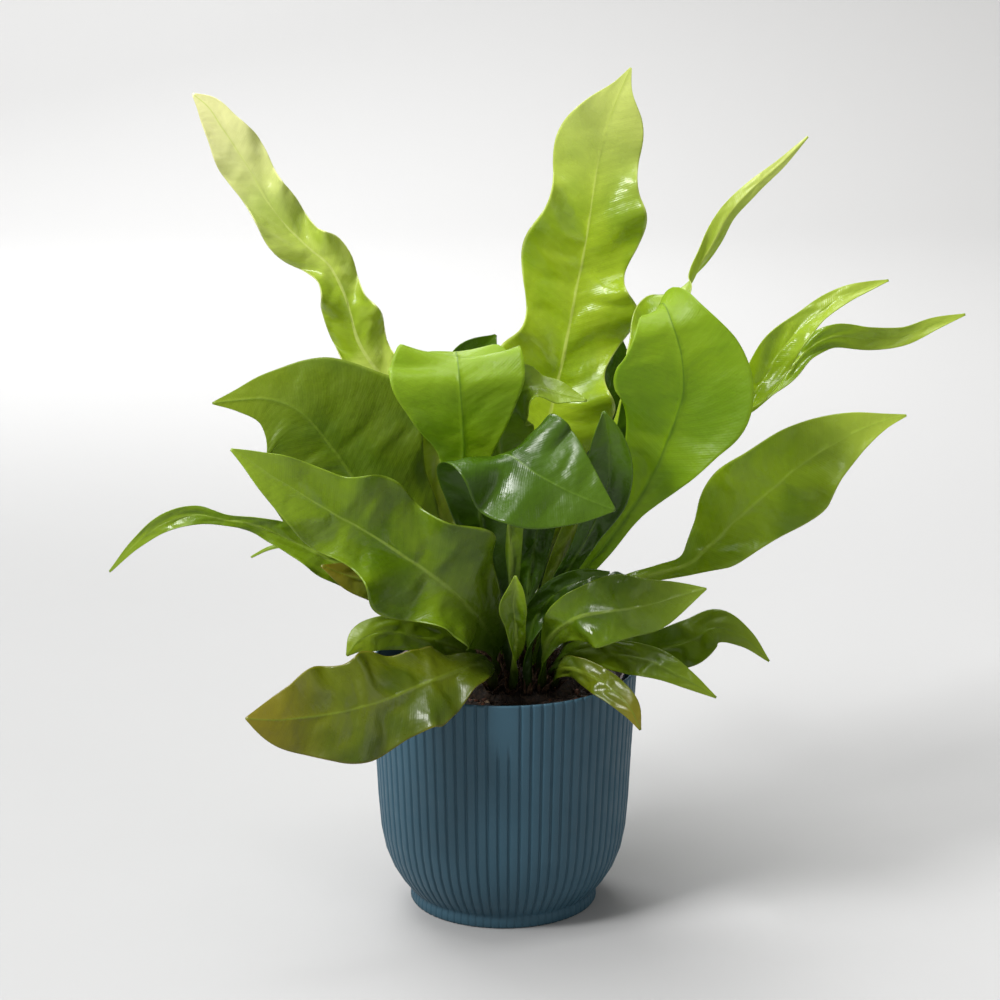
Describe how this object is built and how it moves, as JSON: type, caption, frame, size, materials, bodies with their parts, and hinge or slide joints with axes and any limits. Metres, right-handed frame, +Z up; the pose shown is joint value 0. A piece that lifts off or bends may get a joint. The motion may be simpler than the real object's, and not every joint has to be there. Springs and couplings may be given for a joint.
{
  "type": "potted fern",
  "caption": "Bird's nest fern with long crisped fronds rising from a scaly crown, in a nursery pot inside a round cover pot with narrow vertical grooves.",
  "frame": {"origin": "centre of the cover pot's flat underside, where it rests on a surface", "axes": "+Z up along the pot's axis, -Y towards the front, +X to the right seen from the front"},
  "size_m": [0.4426, 0.285, 0.4312],
  "materials": {
    "cover_plastic": "matt blue-grey moulded plastic",
    "nursery_plastic": "thin taupe thermoformed plastic",
    "potting_mix": "moist dark peat and bark crumbs",
    "rhizome_scales": "dark brown papery scales and fibres",
    "leaf_light": "glossy yellow-green leathery leaf",
    "leaf_mid": "glossy mid-green leathery leaf",
    "leaf_deep": "satin deep green leathery leaf"
  },
  "bodies": {
    "root": {"cover_pot": "cover_plastic", "nursery_pot": "nursery_plastic", "potting_soil": "potting_mix", "rhizome_crown": "rhizome_scales", "frond_tall_centre": "leaf_light", "frond_tall_left": "leaf_light", "frond_twisted_right": "leaf_mid", "frond_back_left": "leaf_mid", "frond_back_right": "leaf_mid", "frond_inner_tip": "leaf_mid", "frond_right_upper": "leaf_mid", "frond_right_lower": "leaf_mid", "frond_far_right": "leaf_mid", "frond_broad_right": "leaf_light", "frond_inner_right": "leaf_deep", "frond_yellow_left": "leaf_light", "frond_arching_tip": "leaf_light", "frond_olive_left": "leaf_deep", "frond_curled_front": "leaf_deep", "frond_young_right": "leaf_deep", "frond_broad_left": "leaf_mid", "frond_long_left": "leaf_mid", "frond_thread_left": "leaf_mid", "frond_dark_left": "leaf_deep", "frond_short_left": "leaf_mid", "frond_low_left": "leaf_deep", "frond_young_front": "leaf_mid", "frond_inner_front": "leaf_mid", "frond_pale_right": "leaf_light", "frond_low_right": "leaf_mid", "frond_right_point": "leaf_mid", "frond_yellow_droop": "leaf_mid", "frond_rear_a": "leaf_mid", "frond_rear_b": "leaf_mid", "frond_rear_c": "leaf_mid", "frond_rear_d": "leaf_mid", "frond_rear_e": "leaf_mid", "frond_rear_f": "leaf_mid"}
  },
  "joints": []
}
